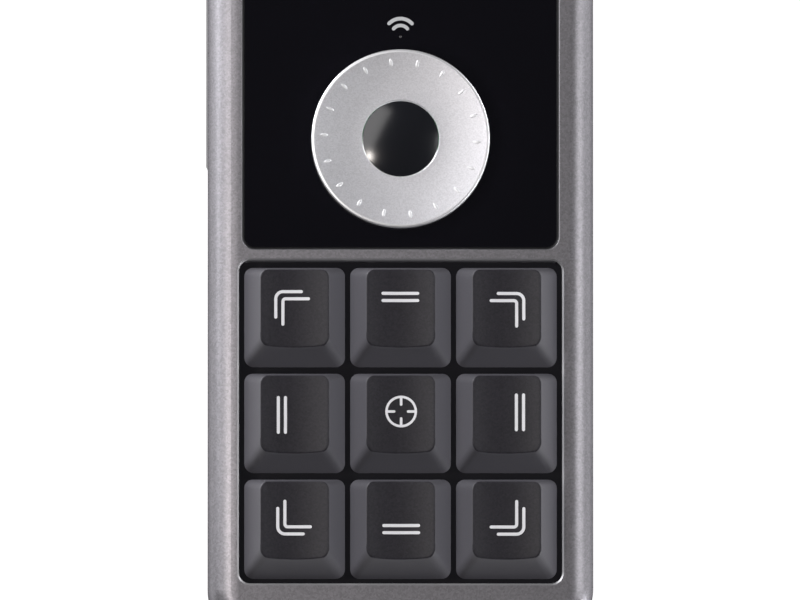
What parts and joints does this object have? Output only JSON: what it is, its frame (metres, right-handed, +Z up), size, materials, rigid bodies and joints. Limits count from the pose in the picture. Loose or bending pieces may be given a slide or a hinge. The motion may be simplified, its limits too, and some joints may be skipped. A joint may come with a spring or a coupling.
{
  "type": "macro keypad with dial",
  "caption": "Desk keypad with square mechanical keys below a gloss panel that carries a dished rotary dial with a push button in its centre.",
  "frame": {"origin": "middle of the body's plan, on the surface the feet stand on", "axes": "+X to the right, +Y towards the dial's end, +Z up"},
  "size_m": [0.0697, 0.126, 0.0254],
  "materials": {
    "frame_metal": "satin gunmetal with a fine sparkle",
    "cover_plastic": "fine texture, dark grey",
    "foot_rubber": "matt",
    "black_steel": "black oxide",
    "bright_steel": "plated",
    "gloss_black": "polished black",
    "dial_aluminium": "fine blasted, with a polished rim",
    "cap_gloss": "polished black",
    "bush_plastic": "natural acetal",
    "magnet": "bonded ferrite",
    "switch_black": "satin",
    "board_green": "solder mask",
    "plate_black": "black powder coat",
    "battery_pouch": "foil pouch",
    "ribbon": "amber film",
    "slider_black": "satin",
    "rocker_grey": "satin grey",
    "keycap_black": "fine matt texture",
    "stem_red": "self-lubricating plastic",
    "spring_steel": "bright wire"
  },
  "bodies": {
    "case": {"battery": "battery_pouch", "board_ribbon": "ribbon", "board_screws": "bright_steel", "bottom_cover": "cover_plastic", "button_guide": "bush_plastic", "button_switch": "switch_black", "case_screws": "black_steel", "control_board": "board_green", "dial_bush": "bush_plastic", "front_panel": "gloss_black", "main_board": "board_green", "power_switch": "switch_black", "rocker_board": "board_green", "rocker_pin": "bright_steel", "rubber_feet": "foot_rubber", "spring_11": "spring_steel", "spring_12": "spring_steel", "spring_13": "spring_steel", "spring_21": "spring_steel", "spring_22": "spring_steel", "spring_23": "spring_steel", "spring_31": "spring_steel", "spring_32": "spring_steel", "spring_33": "spring_steel", "switch_11": "switch_black", "switch_12": "switch_black", "switch_13": "switch_black", "switch_21": "switch_black", "switch_22": "switch_black", "switch_23": "switch_black", "switch_31": "switch_black", "switch_32": "switch_black", "switch_33": "switch_black", "switch_plate": "plate_black", "top_frame": "frame_metal", "usb_socket": "bright_steel"},
    "dial": {"dial_ring": "dial_aluminium", "dial_clip": "bright_steel", "encoder_magnet": "magnet"},
    "dial_button": {"dial_cap": "cap_gloss"},
    "rocker": {"side_rocker": "rocker_grey"},
    "power": {"power_slider": "slider_black"},
    "key_11": {"keycap_11": "keycap_black", "stem_11": "stem_red"},
    "key_12": {"keycap_12": "keycap_black", "stem_12": "stem_red"},
    "key_13": {"keycap_13": "keycap_black", "stem_13": "stem_red"},
    "key_21": {"keycap_21": "keycap_black", "stem_21": "stem_red"},
    "key_22": {"keycap_22": "keycap_black", "stem_22": "stem_red"},
    "key_23": {"keycap_23": "keycap_black", "stem_23": "stem_red"},
    "key_31": {"keycap_31": "keycap_black", "stem_31": "stem_red"},
    "key_32": {"keycap_32": "keycap_black", "stem_32": "stem_red"},
    "key_33": {"keycap_33": "keycap_black", "stem_33": "stem_red"}
  },
  "joints": [
    {"name": "key_11_press", "type": "slide", "parent": "case", "child": "key_11", "axis": [0, 0, -1], "range_m": [0, 0.004], "stiffness_N_per_m": 80, "springref_m": -0.005, "deforming": ["spring_11"]},
    {"name": "key_12_press", "type": "slide", "parent": "case", "child": "key_12", "axis": [0, 0, -1], "range_m": [0, 0.004], "stiffness_N_per_m": 80, "springref_m": -0.005, "deforming": ["spring_12"]},
    {"name": "key_13_press", "type": "slide", "parent": "case", "child": "key_13", "axis": [0, 0, -1], "range_m": [0, 0.004], "stiffness_N_per_m": 80, "springref_m": -0.005, "deforming": ["spring_13"]},
    {"name": "key_21_press", "type": "slide", "parent": "case", "child": "key_21", "axis": [0, 0, -1], "range_m": [0, 0.004], "stiffness_N_per_m": 80, "springref_m": -0.005, "deforming": ["spring_21"]},
    {"name": "key_22_press", "type": "slide", "parent": "case", "child": "key_22", "axis": [0, 0, -1], "range_m": [0, 0.004], "stiffness_N_per_m": 80, "springref_m": -0.005, "deforming": ["spring_22"]},
    {"name": "key_23_press", "type": "slide", "parent": "case", "child": "key_23", "axis": [0, 0, -1], "range_m": [0, 0.004], "stiffness_N_per_m": 80, "springref_m": -0.005, "deforming": ["spring_23"]},
    {"name": "key_31_press", "type": "slide", "parent": "case", "child": "key_31", "axis": [0, 0, -1], "range_m": [0, 0.004], "stiffness_N_per_m": 80, "springref_m": -0.005, "deforming": ["spring_31"]},
    {"name": "key_32_press", "type": "slide", "parent": "case", "child": "key_32", "axis": [0, 0, -1], "range_m": [0, 0.004], "stiffness_N_per_m": 80, "springref_m": -0.005, "deforming": ["spring_32"]},
    {"name": "key_33_press", "type": "slide", "parent": "case", "child": "key_33", "axis": [0, 0, -1], "range_m": [0, 0.004], "stiffness_N_per_m": 80, "springref_m": -0.005, "deforming": ["spring_33"]},
    {"name": "dial_turn", "type": "hinge", "parent": "case", "child": "dial", "pos_m": [0, 0.026, 0.0195], "axis": [0, 0, 1], "continuous": true},
    {"name": "dial_button_press", "type": "slide", "parent": "case", "child": "dial_button", "axis": [0, 0, -1], "range_m": [0, 0.0005], "stiffness_N_per_m": 400, "springref_m": -0.002},
    {"name": "rocker_tilt", "type": "hinge", "parent": "case", "child": "rocker", "pos_m": [-0.0307, 0.03715, 0.0085], "axis": [0, 0, 1], "range_deg": [-1.5, 1.5], "stiffness_Nm_per_rad": 1},
    {"name": "power_slide", "type": "slide", "parent": "case", "child": "power", "axis": [1, 0, 0], "range_m": [0, 0.0024]}
  ]
}
